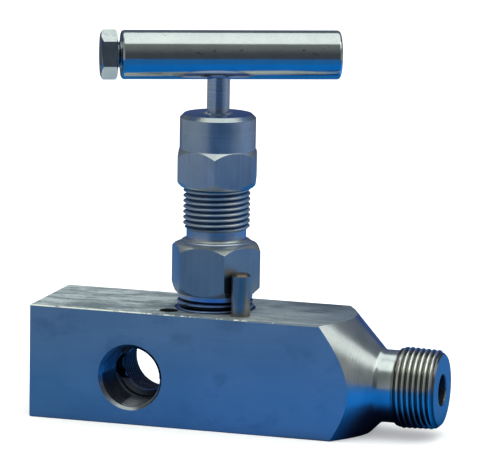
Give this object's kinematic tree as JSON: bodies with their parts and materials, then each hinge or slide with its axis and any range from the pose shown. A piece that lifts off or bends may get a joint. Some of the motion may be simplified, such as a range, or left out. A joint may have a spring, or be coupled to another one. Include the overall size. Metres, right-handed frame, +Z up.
{
  "type": "multiport gauge valve",
  "caption": "Square bar gauge valve with a male tapered inlet, cross-drilled side and end ports, a screwed bonnet, packing nut, rising stem and T-bar handle.",
  "frame": {"origin": "on the underside of the bar, under the stem axis, midway across the bar", "axes": "+X along the flow axis towards the male inlet, +Y to the back side port, +Z up along the stem towards the handle"},
  "size_m": [0.137, 0.0452, 0.1307],
  "materials": {
    "bar_steel": "machined stainless bar with fine draw lines",
    "bonnet_steel": "turned and milled stainless",
    "nut_steel": "turned and milled stainless",
    "stem_steel": "ground and polished stainless",
    "handle_steel": "polished stainless bar",
    "screw_steel": "plated steel",
    "pin_steel": "ground steel pin",
    "hard_steel": "hardened and ground",
    "inner_steel": "turned stainless",
    "seat_polymer": "moulded, off-white",
    "packing": "white fluoropolymer",
    "graphite": "pressed graphite",
    "wiper_rubber": "black nitrile"
  },
  "bodies": {
    "valve": {"valve_body": "bar_steel", "seat_insert": "seat_polymer", "seat_retainer": "inner_steel", "bonnet_gasket": "graphite", "bonnet": "bonnet_steel", "bonnet_lock_pin": "pin_steel", "lower_packing_washer": "inner_steel", "packing_ring_lower": "packing", "packing_ring_middle": "packing", "packing_ring_upper": "packing", "upper_packing_washer": "inner_steel"},
    "gland": {"packing_gland": "inner_steel"},
    "nut": {"packing_nut": "nut_steel", "stem_wiper": "wiper_rubber"},
    "tip": {"stem_tip": "hard_steel"},
    "stem_and_handle": {"stem": "stem_steel", "thrust_ball": "hard_steel", "tip_pins": "hard_steel", "handle_bar": "handle_steel", "handle_screw": "screw_steel"}
  },
  "joints": [
    {"name": "tip_lift", "type": "slide", "parent": "valve", "child": "tip", "axis": [0, 0, 1], "range_m": [0, 0.00476]},
    {"name": "handle_turn", "type": "hinge", "parent": "tip", "child": "stem_and_handle", "pos_m": [0, 0, 0.1], "axis": [0, 0, 1], "range_deg": [0, 1350]},
    {"name": "gland_lift", "type": "slide", "parent": "valve", "child": "gland", "axis": [0, 0, 1], "range_m": [0, 0.00363]},
    {"name": "nut_turn", "type": "hinge", "parent": "gland", "child": "nut", "pos_m": [0, 0, 0.09], "axis": [0, 0, 1], "range_deg": [0, 720]}
  ],
  "couplings": [
    {"joint": "tip_lift", "follows": "handle_turn", "m_per_rad": 0.00020213},
    {"joint": "gland_lift", "follows": "nut_turn", "m_per_rad": 0.00028871}
  ]
}
